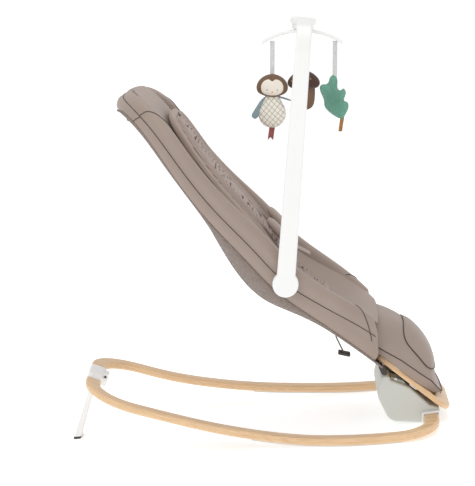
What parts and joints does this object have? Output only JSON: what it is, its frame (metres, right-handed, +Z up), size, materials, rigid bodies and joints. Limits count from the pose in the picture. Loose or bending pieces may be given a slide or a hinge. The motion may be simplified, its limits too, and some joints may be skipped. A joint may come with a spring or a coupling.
{
  "type": "baby bouncer seat",
  "caption": "Reclining baby bouncer with a padded seat on bent wood rockers, a folding rear prop leg, a sprung foot housing and an overhead toy arm with hanging soft toys.",
  "frame": {"origin": "on the floor, in the middle of the whole seat's length and width, as it stands on its prop leg", "axes": "+X towards the foot end, +Y across, +Z up"},
  "size_m": [0.8128, 0.448, 0.8712],
  "materials": {
    "birch_ply": "satin lacquer",
    "white_plastic": "satin",
    "grey_plastic": "fine grain",
    "dark_plastic": "satin",
    "steel": "zinc plated",
    "frame_tube": "satin",
    "soft_rubber": "matt",
    "clear_rubber": "matt",
    "taupe_leatherette": "smooth coated cloth",
    "knit": "knitted",
    "quilted_liner": "embroidered",
    "sling_cloth": "woven",
    "tab_webbing": "webbing",
    "plush_brown": "short pile",
    "plush_green": "short pile",
    "plush_dark": "short pile"
  },
  "bodies": {
    "base": {"rocker_left": "birch_ply", "rocker_right": "birch_ply", "anti_slip_left": "clear_rubber", "anti_slip_right": "clear_rubber", "rear_bridge": "white_plastic", "bridge_screws": "steel", "kickstand_pin": "steel", "housing_shell": "grey_plastic", "housing_cap": "grey_plastic", "housing_base_plate": "grey_plastic", "housing_screws": "steel", "collar_left": "white_plastic", "collar_right": "white_plastic", "pivot_axle": "steel", "axle_clips": "steel", "bounce_springs": "steel"},
    "kickstand": {"kickstand": "white_plastic", "kickstand_pad": "soft_rubber"},
    "latch": {"kickstand_latch": "dark_plastic"},
    "cradle": {"cradle": "dark_plastic", "cradle_bushes": "white_plastic", "bump_stop": "soft_rubber"},
    "seat": {"board_bracket": "steel", "bracket_bushes": "white_plastic", "board": "birch_ply", "board_screws": "steel", "lever_hangers": "white_plastic", "strap_adjuster": "dark_plastic", "side_tube_left": "frame_tube", "side_tube_right": "frame_tube", "head_tube": "frame_tube", "tube_clamps": "white_plastic", "hip_socket_left": "white_plastic", "hip_socket_right": "white_plastic", "side_cover_left": "taupe_leatherette", "side_cover_right": "taupe_leatherette", "head_cover": "taupe_leatherette", "head_tab": "tab_webbing", "seat_sling": "sling_cloth", "under_cover": "taupe_leatherette", "gusset_left": "knit", "gusset_right": "knit", "foot_cover": "taupe_leatherette", "toe_pocket": "taupe_leatherette", "liner": "quilted_liner", "waist_pad_left": "taupe_leatherette", "waist_pad_right": "taupe_leatherette", "crotch_strap": "taupe_leatherette", "buckle_body": "white_plastic", "buckle_tongues": "white_plastic"},
    "recline_lever": {"recline_lever": "dark_plastic"},
    "buckle_button": {"buckle_button": "grey_plastic"},
    "toy_bar": {"toy_hub": "white_plastic", "toy_arm": "white_plastic"},
    "mobile": {"swivel_cap": "white_plastic", "mobile_bow": "white_plastic"},
    "owl": {"owl_toy": "plush_brown"},
    "mushroom": {"mushroom_toy": "plush_dark"},
    "leaf": {"leaf_toy": "plush_green"}
  },
  "joints": [
    {"name": "kickstand_fold", "type": "hinge", "parent": "base", "child": "kickstand", "pos_m": [-0.34785, 0, 0.13166], "axis": [0, -1, 0], "range_deg": [0, 80]},
    {"name": "latch_press", "type": "slide", "parent": "base", "child": "latch", "axis": [-0.4011, 0, -0.916], "range_m": [0, 0.002], "stiffness_N_per_m": 900},
    {"name": "bounce", "type": "hinge", "parent": "base", "child": "cradle", "pos_m": [0.29, 0, 0.05781], "axis": [0, -1, 0], "range_deg": [-2.5, 4], "stiffness_Nm_per_rad": 80, "springref_deg": -6.46, "deforming": ["bounce_springs"]},
    {"name": "recline", "type": "hinge", "parent": "cradle", "child": "seat", "pos_m": [0.29, 0, 0.05781], "axis": [0, -1, 0], "range_deg": [0, 18]},
    {"name": "recline_lever", "type": "hinge", "parent": "seat", "child": "recline_lever", "pos_m": [0.2645, 0, 0.1345], "axis": [0, 1, 0], "range_deg": [0, 18], "stiffness_Nm_per_rad": 0.6, "springref_deg": -6.88},
    {"name": "buckle_press", "type": "slide", "parent": "seat", "child": "buckle_button", "axis": [-0.7713, 0, -0.6364], "range_m": [0, 0.002], "stiffness_N_per_m": 900},
    {"name": "toy_bar_swing", "type": "hinge", "parent": "seat", "child": "toy_bar", "pos_m": [0.07916, -0.206, 0.35015], "axis": [0, 1, 0], "range_deg": [-10, 70]},
    {"name": "mobile_turn", "type": "hinge", "parent": "toy_bar", "child": "mobile", "pos_m": [0.15351, 0, 0.8552], "axis": [0.1457, 0, 0.9893], "continuous": true},
    {"name": "owl_swing", "type": "hinge", "parent": "mobile", "child": "owl", "pos_m": [0.08433, 0, 0.82666], "axis": [0.997, 0, -0.078], "range_deg": [-25, 25]},
    {"name": "mushroom_swing", "type": "hinge", "parent": "mobile", "child": "mushroom", "pos_m": [0.1513, 0, 0.83654], "axis": [0.997, 0, -0.078], "range_deg": [-25, 25]},
    {"name": "leaf_swing", "type": "hinge", "parent": "mobile", "child": "leaf", "pos_m": [0.21593, 0, 0.81636], "axis": [0.997, 0, -0.078], "range_deg": [-25, 25]}
  ]
}
